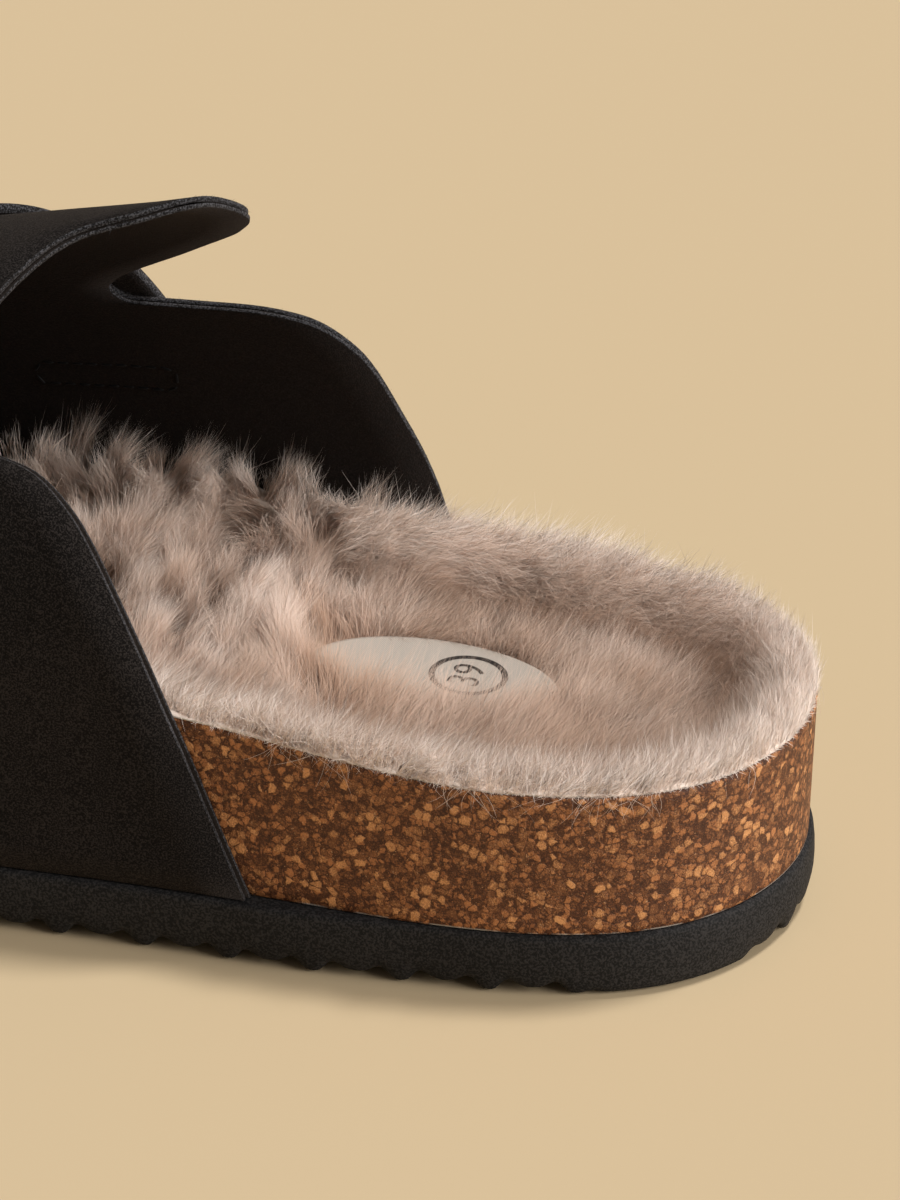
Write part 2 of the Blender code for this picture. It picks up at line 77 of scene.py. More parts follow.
def closed_spline(points, per_span):
    """Periodic cubic through the points on chord lengths: tangents from the cyclic three-term system."""
    points = np.asarray(points, float)
    count, rows = len(points), np.arange(len(points))
    chord = np.linalg.norm(np.roll(points, -1, 0) - points, axis=1)
    slope = (np.roll(points, -1, 0) - points) / chord[:, None]
    matrix = np.zeros((count, count))
    matrix[rows, rows] = 2 * (chord + np.roll(chord, 1))
    matrix[rows, (rows - 1) % count] = chord
    matrix[rows, (rows + 1) % count] = np.roll(chord, 1)
    right = 3 * (chord[:, None] * np.roll(slope, 1, 0) + np.roll(chord, 1)[:, None] * slope)
    tangent = np.linalg.solve(matrix, right)
    t, w = np.linspace(0, 1, per_span, endpoint=False)[None, :, None], chord[:, None, None]
    start, end = points[:, None], np.roll(points, -1, 0)[:, None]
    leave, arrive = tangent[:, None], np.roll(tangent, -1, 0)[:, None]
    curve = (1 + 2 * t) * (1 - t) ** 2 * start + t * (1 - t) ** 2 * w * leave
    return (curve + t**2 * (3 - 2 * t) * end + t**2 * (t - 1) * w * arrive).reshape(-1, 2)


def footbed_outline(count):
    """Plan of the footbed: heel's back, inner side, toe, outer side, each half evenly spaced by arc."""
    diagonal = math.sqrt(0.5)
    heel_x, heel_y = heel_depth * (1 - diagonal), heel_half_width * diagonal
    inner, outer = list(zip(plan_x, plan_inner)), [(x, -y) for x, y in zip(plan_x, plan_outer)][::-1]
    points = [(0, 0), (heel_x, heel_y), *inner, (footbed_length, toe_tip_y), *outer, (heel_x, -heel_y)]
    curve = closed_spline(points, 40)
    toe = int(np.argmax(curve[:, 0]))
    sides = []
    for half in (curve[: toe + 1], np.vstack([curve[toe:], curve[:1]])):
        length = np.concatenate([[0], np.cumsum(np.linalg.norm(np.diff(half, axis=0), axis=1))])
        at = np.linspace(0, length[-1], count // 2 + 1)[:-1]
        sides.append(np.column_stack([np.interp(at, length, half[:, 0]), np.interp(at, length, half[:, 1])]))
    return np.vstack(sides)


def widened(outline, distance):
    """Each point of the outline moved along its outward normal by a distance."""
    along = np.roll(outline, -1, 0) - np.roll(outline, 1, 0)
    along /= np.linalg.norm(along, axis=1)[:, None]
    outward = np.column_stack([-along[:, 1], along[:, 0]])
    return outline + outward * np.broadcast_to(distance, len(outline))[:, None]


def spring(x):
    """Rise of the sole towards the toe: the square of the share of the way from where it starts."""
    return toe_spring * np.clip((x - spring_start) / (footbed_length - spring_start), 0, None) ** 2


def upper_reach(x):
    """Distance from the footbed's side to the outer face of the upper, a little more round the toe."""
    return side_clearance + upper_wall + 1.6 * smooth_step((x - 205) / (footbed_length - 205))


def ledge(outline):
    """Width of the outsole beyond the footbed: an S from a narrow heel ledge to one under the upper."""
    x = outline[:, 0]
    corner = np.where(outline[:, 1] > 0, inner_wing_corner, outer_wing_corner)
    return 0.6 + (upper_reach(x) + 0.3) * smooth_step((x - corner) / 30 + 1)


rim_points = 480
outline = footbed_outline(rim_points)
widest = widened(outline, ledge(outline) + 0.4)
centre = np.array([*(widest.min(0) + widest.max(0)) / 2, 0.0])


def grid_faces(rows, columns, start=0):
    """Corner numbers of the quads between neighbouring rows and columns of a grid of points."""
    number = start + np.arange(rows * columns).reshape(rows, columns)
    return np.stack([number[:-1, :-1], number[:-1, 1:], number[1:, 1:], number[1:, :-1]], -1).reshape(-1, 4)


def add_piece(name, points, faces, attributes=(), normals=None):
    """A mesh object from points in millimetres, faces of one corner count, one number per point by name, and
    shading normals of its own where they are given."""
    mesh = bpy.data.meshes.new(name)
    mesh.vertices.add(len(points))
    mesh.vertices.foreach_set("co", ((points - centre) * 0.001).astype(np.float32).ravel())
    mesh.loops.add(faces.size)
    mesh.loops.foreach_set("vertex_index", faces.astype(np.int32).ravel())
    mesh.polygons.add(len(faces))
    mesh.polygons.foreach_set("loop_start", np.arange(len(faces), dtype=np.int32) * faces.shape[1])
    mesh.update(calc_edges=True)
    for key, values in dict(attributes).items():
        field = mesh.attributes.new(key, "FLOAT", "POINT")
        field.data.foreach_set("value", values.astype(np.float32).ravel())
    mesh.shade_smooth()
    if normals is not None:
        mesh.normals_split_custom_set_from_vertices(normals)
    piece = bpy.data.objects.new(name, mesh)
    bpy.context.scene.collection.objects.link(piece)
    return piece


def add_surface(name, grids, sharp=50, attributes=None, outward=True):
    """One object from grids of points that meet along shared edges: the grids' quads, with doubles merged."""
    start, faces = 0, []
    for grid in grids:
        faces.append(grid_faces(*grid.shape[:2], start))
        start += grid.shape[0] * grid.shape[1]
    points = np.concatenate([grid.reshape(-1, 3) for grid in grids])
    values = {key: np.concatenate([part.ravel() for part in parts])
              for key, parts in (attributes or {}).items()}
    piece = add_piece(name, points, np.concatenate(faces), values)
    work = bmesh.new()
    work.from_mesh(piece.data)
    bmesh.ops.remove_doubles(work, verts=work.verts, dist=1e-6)
    bmesh.ops.dissolve_degenerate(work, edges=work.edges, dist=1e-7)
    if outward:
        bmesh.ops.recalc_face_normals(work, faces=work.faces)
    work.to_mesh(piece.data)
    work.free()
    piece.data.shade_smooth()
    piece.data.set_sharp_from_angle(angle=math.radians(sharp))
    return piece


def ladder(ring, columns):
    """Rungs between the two sides of a ring of points: inner point times 1 - t plus outer point times t."""
    half = len(ring) // 2
    inner, outer = ring[: half + 1], np.vstack([ring[half:], ring[:1]])[::-1]
    t = np.linspace(0, 1, columns + 1)[None, :, None]
    return inner[:, None] * (1 - t) + outer[:, None] * t


def at_height(plan, z):
    """Plan points with heights."""
    return np.concatenate([plan, np.broadcast_to(z, plan.shape[:-1])[..., None]], -1)


def stacked_rings(rings):
    """Closed rings of one count as a grid whose last column repeats the first."""
    return np.stack([np.vstack([ring, ring[:1]]) for ring in rings])


class Shade:
    """A socket of a material: + - * on it add Math nodes, and node() adds any node by its kind."""

    def __init__(self, tree, socket=None):
        self.tree, self.socket = tree, socket

    def node(self, kind, inputs=None, output=0, stops=None, **settings):
        made = self.tree.nodes.new(kind)
        for key, value in settings.items():
            setattr(made, key, value)
        for place, colour in stops or ():
            near = [e for e in made.color_ramp.elements if abs(e.position - place) < 1e-4]
            element = near[0] if near else made.color_ramp.elements.new(place)
            element.color = (*colour, 1.0)
        for key, value in (inputs or {}).items():
            if isinstance(value, Shade):
                self.tree.links.new(value.socket, made.inputs[key])
            else:
                made.inputs[key].default_value = value
        return Shade(self.tree, made.outputs[output])

    def maths(self, operation, first, second):
        return self.node("ShaderNodeMath", {0: first, 1: second}, operation=operation)

    def mix(self, factor, first, second):
        return self.node("ShaderNodeMix", {0: factor, 6: first, 7: second}, output=2, data_type="RGBA")

    def within(self, low, high):
        return self.node("ShaderNodeMapRange", {0: self, 1: low, 2: high}, interpolation_type="SMOOTHSTEP")

    def noise(self, scale, detail, roughness=0.5, output=0):
        inputs = {"Vector": self, "Scale": scale, "Detail": detail, "Roughness": roughness}
        return self.node("ShaderNodeTexNoise", inputs, output)

    def bump(self, strength, distance):
        return self.node("ShaderNodeBump", {"Strength": strength, "Distance": distance, "Height": self})

    def field(self, name):
        return self.node("ShaderNodeAttribute", output=2, attribute_name=name)

    def __add__(self, other): return self.maths("ADD", self, other)
    def __radd__(self, other): return self.maths("ADD", other, self)
    def __sub__(self, other): return self.maths("SUBTRACT", self, other)
    def __rsub__(self, other): return self.maths("SUBTRACT", other, self)
    def __mul__(self, other): return self.maths("MULTIPLY", self, other)
    def __rmul__(self, other): return self.maths("MULTIPLY", other, self)


def new_finish(name, **constants):
    """A material, a Shade to start its nodes from, and its Principled shader with constant sockets set."""
    material = bpy.data.materials.new(name)
    material.use_nodes = True
    shader = material.node_tree.nodes["Principled BSDF"]
    for key, value in constants.items():
        shader.inputs[key.replace("_", " ")].default_value = value
    return material, Shade(material.node_tree), shader


def drive(shade, shader, **links):
    """Links values to the shader's sockets by name."""
    for key, value in links.items():
        shade.tree.links.new(value.socket, shader.inputs[key.replace("_", " ")])


scallop_pairs, scallop_points, scallop_start = 48, 24, 0.46
tooth_phase = (0, 0.05, 0.1, 0.15, 0.2, 0.25, 0.31, 0.38, 0.45, 0.5)
tooth_rise = (0, 0.08, 0.5, 1.3, 1.85, 1.95, 1.6, 1.05, 0.82, 0.78)
plan = footbed_outline(scallop_pairs * scallop_points)
phase = (np.tile(np.arange(scallop_points) / scallop_points, scallop_pairs) + scallop_start) % 1.0
arc = np.cumsum(np.linalg.norm(plan - np.roll(plan, 1, 0), axis=1))
from_heel = np.minimum(arc, arc[-1] - arc)
toothed = smooth_step((np.abs(from_heel - 30) - 9) / 9)
scallop = smooth_table(np.minimum(phase, 1 - phase), tooth_phase, tooth_rise) * toothed
edge, rise = ledge(plan), spring(plan[:, 0])
rings = [at_height(widened(plan, edge - 9.0), rise)]
for inset, share in ((8.0, 0.3), (6.0, 0.75), (4.0, 0.95), (1.8, 1.0), (0.9, 1.0)):
    rings.append(at_height(widened(plan, edge - inset), rise + 0.2 + scallop * share))
side_profile = ((0.6, -0.35, 0.9), (1.6, 0.0, 0.6), (2.8, 0.2, 0.25), (4.2, 0.36, 0.08), (5.6, 0.4, 0.0),
                (7.2, 0.33, 0.0), (8.6, 0.15, 0.0), (9.25, -0.05, 0.0), (outsole_height, -0.35, 0.0))
for height, bulge, share in side_profile:
    rings.append(at_height(widened(plan, edge + bulge), rise + height + scallop * share))
rings.append(at_height(widened(plan, edge - 6.0), rise + outsole_height))
tread = ladder(rings[0], 20)
groove_pitch, groove_swing, groove_depth = 6.5, 2.2, 1.1
inside = np.minimum(np.linspace(0, 1, 21), np.linspace(1, 0, 21))[None] * 12
wave = tread[..., 0] + groove_swing * np.cos(tread[..., 1] * 0.45)
wave = 0.5 + 0.5 * np.cos(2 * np.pi * wave / groove_pitch)
groove = smooth_step(wave * 2 - 0.9) * smooth_step(inside) * smooth_step((tread[..., 0] - 12) / 6)
tread[..., 2] += groove_depth * groove
outsole = add_surface("outsole_foam", [tread, stacked_rings(rings), ladder(rings[-1], 4)])

foam, s, shader = new_finish("foam_black", Roughness=0.8, Specular_IOR_Level=0.3)
where = s.node("ShaderNodeTexCoord", output=3)
grain = where.noise(3000, 2, 0.6)
scuffs = where.noise(55, 5, 0.7)
dust = (grain * 0.9 + scuffs * 0.1).within(0.43, 0.6)
drive(s, shader, Base_Color=s.mix(dust, (0.0015, 0.0013, 0.0013, 1), (0.0265, 0.0238, 0.0232, 1)),
      Roughness=0.7 + 0.2 * grain,
      Normal=(grain + scuffs * 0.3).bump(0.5, 0.0002))
outsole.data.materials.append(foam)
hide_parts("outsole")
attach(outsole, "root")


# Cork footbed.
# Cork granules pressed with glue into a block, sanded on the sides. The heel is cupped and the rim climbs
# at the inner arch. A thin line of dried glue shows at the seam with the outsole.

footbed_x = (0, 35, 60, 85, 105, 130, 160, 190, 254)
inner_rim = (21.3, 21.6, 23.6, 26.3, 27.0, 23.5, 17.5, 14.5, 13.5)
outer_rim = (21.3, 21.4, 22.2, 23.0, 22.5, 19.5, 16.0, 14.5, 13.5)
cup_floor = (13.5, 13.0, 13.5, 14.5, 15.0, 14.0, 12.5, 11.5, 11.5)
cup_wall = 15.0


def edge_distance(x, y):
    """Distance from points to the nearest point of the footbed's outline, in blocks to spare memory."""
    flat = np.column_stack([np.ravel(x), np.ravel(y)])
    parts = np.array_split(flat, len(flat) // 4000 + 1)
    blocks = [((part[:, None] - outline[None]) ** 2).sum(-1).min(1) for part in parts]
    return np.sqrt(np.concatenate(blocks)).reshape(np.shape(x))


def footbed_height(x, y, away=None):
    """Top of the cork: the rim on that side, less its rise over the cup's floor times an S of the way in."""
    away = edge_distance(x, y) if away is None else away
    inner, outer = smooth_table(x, footbed_x, inner_rim), smooth_table(x, footbed_x, outer_rim)
    rim = outer + (inner - outer) * smooth_step(0.5 + y / (2 * heel_half_width))
    floor = smooth_table(x, footbed_x, cup_floor)
    return outsole_height + clearance + spring(x) + rim - (rim - floor) * smooth_step(away / cup_wall)


plan = footbed_outline(rim_points)
under = outsole_height + clearance - 0.25 + spring(plan[:, 0])
rim = footbed_height(plan[:, 0], plan[:, 1])
flare = 0.3 * (1 - smooth_step((plan[:, 0] - 40) / 20))
up = np.concatenate([[0, 0.012], np.linspace(0.06, 0.94, 10), [0.985, 1.0]])
sides = [at_height(widened(plan, flare * t - 0.25 * (t in (0, 1))), under + (rim - under) * t) for t in up]
cup = ladder(widened(plan, -0.5), 24)
cup = at_height(cup, footbed_height(cup[..., 0], cup[..., 1]))
sides.append(np.vstack([cup[:, 0], cup[-2:0:-1, -1]]))
grids = [ladder(sides[0], 1), stacked_rings(sides), cup]
side_share = np.repeat(np.append(up, 1.0)[:, None], rim_points + 1, 1)
height_share = [np.zeros(grids[0].shape[:2]), side_share, np.ones(cup.shape[:2])]
cork = add_surface("cork_footbed", grids, attributes={"height_share": height_share})

cork_finish, s, shader = new_finish("cork_granules", Roughness=0.6, Specular_IOR_Level=0.35)
where = s.node("ShaderNodeTexCoord", output=3)
wander = where.noise(1100, 4, 0.65, output=1)
shift = s.node("ShaderNodeVectorMath", {0: wander, 3: 0.00085}, operation="SCALE")
bent = s.node("ShaderNodeVectorMath", {0: where, 1: shift})
speck = where.noise(4200, 3, 0.75)
colour = s.node("ShaderNodeValToRGB", {0: speck}, stops=(
    (0.3, (0.032, 0.0094, 0.0034)), (0.5, (0.075, 0.0237, 0.0086)), (0.72, (0.2, 0.071, 0.0255))))
relief = speck * 0.5
for size, from_share, dark, pale in ((1700, 0.28, (0.043, 0.0132, 0.0048), (0.32, 0.118, 0.041)),
                                     (980, 0.3, (0.076, 0.025, 0.0088), (0.5, 0.199, 0.071)),
                                     (760, 0.62, (0.16, 0.057, 0.02), (0.74, 0.345, 0.133))):
    cell = s.node("ShaderNodeTexVoronoi", {"Vector": bent, "Scale": size, "Randomness": 1.0}, output=1)
    from_middle = s.node("ShaderNodeTexVoronoi", {"Vector": bent, "Scale": size, "Randomness": 1.0})
    to_edge = s.node("ShaderNodeTexVoronoi", {"Vector": bent, "Scale": size}, feature="DISTANCE_TO_EDGE")
    chance = s.node("ShaderNodeSeparateColor", {0: cell})
    tint = s.node("ShaderNodeSeparateColor", {0: cell}, output=1)
    rounded = (0.84 - from_middle).within(0.0, 0.3) * to_edge.within(0.0, 0.12)
    crumb = chance.within(from_share, from_share + 0.1) * rounded
    tone = tint * 0.8 + (speck - 0.5) * 2.1 + to_edge * 0.5 - 0.05
    colour = s.mix(crumb * 0.94, colour, s.mix(tone.within(0.0, 1.05), (*dark, 1), (*pale, 1)))
    relief = relief + crumb * tint * 0.4
# Painted highlight: small pale specks in the cork's colour stand in for glints of light on its granules.
painted_glint = where.noise(2600, 2, 0.6)
colour = s.mix(painted_glint.within(0.66, 0.74) * 0.7, colour, (0.62, 0.36, 0.18, 1))
share = s.field("height_share")
glue_break = where.noise(260, 4)
glue = (0.022 - share).within(0.0, 0.014) * glue_break.within(0.4, 0.56)
drive(s, shader, Base_Color=s.mix(glue, colour, (0.6, 0.55, 0.5, 1)), Roughness=0.42 + 0.3 * speck,
      Normal=relief.bump(0.6, 0.0004))
cork.data.materials.append(cork_finish)
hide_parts("cork_midsole")
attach(cork, "root")


# Fur insole.
# A sheepskin-like sheet glued to the cork. Its cut edge shows the pale hide; short brown underfur carries
# long hairs with light tips, gathered in locks and combed towards the heel.

rng = np.random.default_rng(39)
patch_x, patch_y, patch_half_length, patch_half_width = 54.5, -1.0, 18.0, 11.0


def patch_reach(x, y):
    """1 on the edge of the woven patch, less inside: the radius in the patch's own axes."""
    return np.hypot((x - patch_x) / patch_half_length, (y - patch_y) / patch_half_width)


def underfur_height(x, y, away):
    """Top of the underfur: the cork plus a thin hide and a dense layer, thicker inward and in front."""
    deeper = smooth_step((x - 62) / 20) * smooth_step(away / 6.0 - 0.4)
    thick = 0.45 + 2.35 * smooth_step(away / 6.0) + 0.9 * deeper
    return footbed_height(x, y, away) + clearance - 0.2 + thick


def soft_noise(x, y, cell, seed):
    """Value noise from -1 to 1: random numbers on a square lattice, blended by an S on each axis."""
    size = 97
    table = np.random.default_rng(seed).uniform(-1, 1, (size, size))
    u, v = np.asarray(x) / cell, np.asarray(y) / cell
    i, j = np.floor(u).astype(int), np.floor(v).astype(int)
    a, b = smooth_step(u - i), smooth_step(v - j)
    low = table[i % size, j % size] * (1 - a) + table[(i + 1) % size, j % size] * a
    high = table[i % size, (j + 1) % size] * (1 - a) + table[(i + 1) % size, (j + 1) % size] * a
    return low * (1 - b) + high * b


plan = widened(footbed_outline(rim_points), -0.2)
top = ladder(widened(plan, -0.25), 40)
away = edge_distance(top[..., 0], top[..., 1])
nap = 0.35 * soft_noise(top[..., 0], top[..., 1], 1.6, 4)
top = at_height(top, underfur_height(top[..., 0], top[..., 1], away) + nap)
lip = np.vstack([top[:, 0], top[-2:0:-1, -1]])
ragged = soft_noise(np.arange(rim_points) * 1.27, np.zeros(rim_points), 1.1, 8)
hide_low = at_height(widened(plan, 0.05 * ragged), footbed_height(plan[:, 0], plan[:, 1]) + 0.06)
hide_high = hide_low + np.array([0, 0, 0.2]) + ragged[:, None] * np.array([0, 0, 0.1])
fur_start = hide_high * 0.88 + lip * 0.12
below = ladder(hide_low, 8)
below = at_height(below[..., :2], footbed_height(below[..., 0], below[..., 1]) + 0.06)
wall = stacked_rings([hide_low, hide_high, fur_start, lip])
cut_wall = np.repeat(np.array([1.0, 1.0, 0, 0])[:, None], rim_points + 1, 1)
cut_share = [np.zeros(below.shape[:2]), cut_wall, np.zeros(top.shape[:2])]
rim_share = [np.zeros(below.shape[:2]), np.ones(wall.shape[:2]), np.exp(-((away / 7) ** 2))]
pelt = add_surface("fur_pelt", [below, wall, top], sharp=180,
                   attributes={"cut_edge": cut_share, "at_rim": rim_share})

pelt_finish, s, shader = new_finish("underfur", Roughness=0.95, Specular_IOR_Level=0.1)
where = s.node("ShaderNodeTexCoord", output=3)
tuft = where.noise(420, 5, 0.65)
underfur = s.mix(tuft.within(0.3, 0.7), (0.3, 0.2, 0.14, 1), (0.6, 0.45, 0.35, 1))
# Paler underfur at the rim: partly the pelt's paler edge, partly painted light.
at_rim = s.field("at_rim")
underfur = s.mix(at_rim, underfur, s.mix(tuft.within(0.3, 0.7), (0.76, 0.61, 0.51, 1), (0.92, 0.8, 0.71, 1)))
cut = s.field("cut_edge")
drive(s, shader, Base_Color=s.mix(cut.within(0.3, 0.8), underfur, (0.7, 0.63, 0.56, 1)),
      Normal=tuft.bump(0.7, 0.0006))
pelt.data.materials.append(pelt_finish)
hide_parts("fur_insole")
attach(pelt, "root")

hair_finish, s, shader = new_finish("fur_hair", Roughness=0.62, Specular_IOR_Level=0.22)
along_hair = s.field("along")
lightness = s.field("lightness")
# Painted shade: the deep tone is darker hair and also the hair's colour in shade.
deep_and_shaded_tone = s.node("ShaderNodeValToRGB", {0: along_hair}, stops=(
    (0.0, (0.26, 0.138, 0.083)), (0.45, (0.54, 0.352, 0.248)), (1.0, (0.79, 0.587, 0.455))))
# Painted light: the pale tone is paler hair and also the hair's colour in light.
pale_and_lit_tone = s.node("ShaderNodeValToRGB", {0: along_hair}, stops=(
    (0.0, (0.68, 0.468, 0.348)), (0.4, (0.96, 0.765, 0.64)), (1.0, (1.0, 0.89, 0.805))))
# The lightness field mixes them by random tone and by the painted shade and light set in add_hair.
colour = s.mix(lightness, deep_and_shaded_tone, pale_and_lit_tone)
drive(s, shader, Base_Color=colour)
glow = s.node("ShaderNodeBsdfTranslucent", {0: (0.9, 0.735, 0.615, 1)})
both = s.node("ShaderNodeMixShader", {0: 0.28, 1: Shade(s.tree, shader.outputs[0]), 2: glow})
s.tree.links.new(both.socket, s.tree.nodes["Material Output"].inputs["Surface"])

lattice_x, lattice_y = np.arange(-6, 262), np.arange(-56, 54)
edge_lattice = edge_distance(*np.meshgrid(lattice_x.astype(float), lattice_y.astype(float), indexing="ij"))


def away_at(x, y):
    """Edge distance read from a lattice of 1 mm, blended in straight lines between its four corners."""
    u = np.clip(x - lattice_x[0], 0, len(lattice_x) - 2.001)
    v = np.clip(y - lattice_y[0], 0, len(lattice_y) - 2.001)
    i, j = u.astype(int), v.astype(int)
    a, b = u - i, v - j
    low = edge_lattice[i, j] * (1 - a) + edge_lattice[i + 1, j] * a
    return low * (1 - b) + (edge_lattice[i, j + 1] * (1 - a) + edge_lattice[i + 1, j + 1] * a) * b


def slope_of(height, x, y):
    """Two slopes of a height in plan, by steps of 0.8 mm each way."""
    return (height(x + 0.8, y) - height(x - 0.8, y)) / 1.6, (height(x, y + 0.8) - height(x, y - 0.8)) / 1.6


lock_cells, lock_size = 211, 4.2


def nearest_lock(x, y, cell, seed):
    """Root of the nearest lock: one jittered point in each lattice cell, the closest of the nine around."""
    jitter = np.random.default_rng(seed).uniform(0.1, 0.9, (lock_cells, lock_cells, 2))
    i, j = np.floor(x / cell).astype(int), np.floor(y / cell).astype(int)
    best, lock = np.full(x.shape, 1e9), np.zeros(x.shape, int)
    where_x, where_y = np.zeros_like(x), np.zeros_like(x)
    for di in (-1, 0, 1):
        for dj in (-1, 0, 1):
            a, b = i + di, j + dj
            row, column = a % lock_cells, b % lock_cells
            cx, cy = (a + jitter[row, column, 0]) * cell, (b + jitter[row, column, 1]) * cell
            gap = (cx - x) ** 2 + (cy - y) ** 2
            closer = gap < best
            best, lock = np.where(closer, gap, best), np.where(closer, row * lock_cells + column, lock)
            where_x, where_y = np.where(closer, cx, where_x), np.where(closer, cy, where_y)
    return where_x, where_y, lock


def wing_start(y):
    """Distance from the heel beyond which a wing stands beside the hair, on the inner or the outer side."""
    return np.where(y > 0, 80, 59)


def lay_of_hair(x, y, away):
    """Lean of the hair in plan, its rise, its length and how far it gathers in tufts. It is combed to the
    heel, up at the open rim, swept along the outer rim, upright at the heel's back and against the wings,
    down the cup's wall on the outer side, laid over the patch's near edge and parted at its front end.
    Noise of several sizes ruffles it."""
    in_x, in_y = slope_of(away_at, x, y)
    lateral = smooth_step((-y + 4) / 14)
    rim_part = 1 - smooth_step((away - 3.0) / 4.0)
    wall_part = smooth_step((away - 3.5) / 3.0) * (1 - smooth_step((away - 12.5) / 3.5))
    winged = smooth_step((x - wing_start(y)) / 12)
    tufty = smooth_step((x - 60) / 20) * smooth_step((34 - y) / 26)
    outward = (0.17 - 0.12 * lateral - (0.55 - 0.12 * lateral) * winged) * rim_part
    swept = lateral * np.clip(in_y, 0, 1) * (1 - smooth_step((away - 10.0) / 4.0)) * (1 - winged)
    ruffle = 0.3 + 0.3 * smooth_step((x - 50) / 25)
    lean_x = (-0.6 - ruffle * soft_noise(x, y, 10, 21)) * (1 - 0.3 * rim_part)
    lean_x = lean_x + 0.36 * soft_noise(x, y, 2.3, 27)
    lean_y = (-0.26 + (ruffle + 0.12) * soft_noise(x, y, 9, 22)) * (1 - 0.7 * rim_part)
    heel_back = np.clip(in_x, 0, 1) ** 2 * (1 - smooth_step((away - 2.0) / 7.0))
    outward = outward * (1 - heel_back) - 0.22 * heel_back
    lean_x = lean_x * (1 - 0.35 * tufty) * (1 - 0.9 * heel_back) - 0.6 * swept
    lean_x = lean_x - in_x * outward + in_x * 0.5 * wall_part * lateral
    lean_y = lean_y - in_y * outward + in_y * 0.7 * wall_part * lateral + 0.36 * soft_noise(x, y, 2.3, 28)
    rise = 0.66 + 0.26 * rim_part - 0.34 * swept + 0.5 * tufty + 0.16 * soft_noise(x, y, 6, 23)
    length = 5.5 + 0.7 * soft_noise(x, y, 8, 24) + 2.1 * tufty - 0.2 * rim_part
    length = length * (1 - 0.45 * smooth_step((x - 124) / 14)) * (1 - 0.1 * swept) * (1 - 0.15 * heel_back)
    over = np.exp(-(((patch_reach(x, y) - 1.2) / 0.3) ** 2)) * smooth_step((y - patch_y) / 6)
    parted = np.exp(-(((patch_reach(x, y) - 1.2) / 0.35) ** 2)) * smooth_step((x - patch_x - 6) / 8)
    lean_x, lean_y = lean_x * (1 - 0.6 * over) + 0.9 * parted, lean_y - 0.75 * over
    return lean_x, lean_y, np.maximum(rise - 0.2 * over, 0.12), length + 4.6 * over, tufty


wing_gap = 1.1


def footbed_sides(x):
    """Outer and inner side of the footbed's outline at distances from the heel, in straight lines."""
    half = len(outline) // 2
    inner, outer = outline[: half + 1], np.vstack([outline[half:], outline[:1]])[::-1]
    return np.interp(x, outer[:, 0], outer[:, 1]), np.interp(x, inner[:, 0], inner[:, 1])


def scatter_roots(count, x_low, x_high):
    """Random roots inside the insole between two distances from the heel, outside the patch."""
    x = rng.uniform(x_low, x_high, int(count * 1.9) + 2000)
    y = rng.uniform(-49, 46, len(x))
    outer, inner = footbed_sides(x)
    inside = (y < inner - 0.2) & (y > outer + 0.2) & (patch_reach(x, y) > 1.03)
    x, y = x[inside], y[inside]
    away = away_at(x, y)
    bare_edge = 0.3 + wing_gap * smooth_step((x - wing_start(y)) / 12) + 2.5 * smooth_step((x - 118) / 8)
    keep = away > bare_edge
    return x[keep][:count], y[keep][:count], away[keep][:count]


def add_strands(name, line, width, along, values, facing):
    """Tapered ribbons along lines of points that end in a tip, shaded as rods: the normal is what is left of
    the facing direction when most of its part along the hair is taken out."""
    count, stops = line.shape[:2]
    spine = np.concatenate([line[:, 1:] - line[:, :-1], line[:, -1:] - line[:, -2:-1]], 1)
    spine /= np.maximum(np.linalg.norm(spine, axis=-1, keepdims=True), 1e-9)
    roll = rng.normal(0, 0.6, (count, 1, 3)) + facing[:, None]
    across = np.cross(spine, roll)
    across /= np.maximum(np.linalg.norm(across, axis=-1, keepdims=True), 1e-9)
    taper = np.linspace(1.0, 0.7, stops - 1)[None, :, None]
    half = 0.5 * (width * rng.uniform(0.7, 1.25, count))[:, None, None] * taper
    left, right = line[:, :-1] - across[:, :-1] * half, line[:, :-1] + across[:, :-1] * half
    pairs = np.stack([left, right], 2).reshape(count, -1, 3)
    points = np.concatenate([pairs, line[:, -1:]], 1).reshape(-1, 3)
    lit = facing[:, None] - 0.75 * (spine * facing[:, None]).sum(-1, keepdims=True) * spine
    lit = lit + 0.2 * rng.normal(0, 1, (count, 1, 3))
    lit = np.concatenate([np.repeat(lit[:, :-1], 2, 1), lit[:, -1:]], 1).reshape(-1, 3)
    lit /= np.linalg.norm(lit, axis=1)[:, None]
    corners = 2 * stops - 1
    rung = 2 * np.arange(stops - 2)[:, None]
    strip = np.concatenate([rung + (0, 1, 3), rung + (0, 3, 2), [[corners - 3, corners - 2, corners - 1]]])
    faces = (np.arange(count)[:, None, None] * corners + strip[None]).reshape(-1, 3)
    order = np.append(np.repeat(np.arange(stops - 1), 2), stops - 1)
    fields = {"along": np.broadcast_to(along, (count, stops))[:, order],
              "lightness": np.repeat(np.clip(values, 0, 1), corners)}
    hair = add_piece(name, points, faces, fields, lit)
    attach(hair, "root")
    return hair


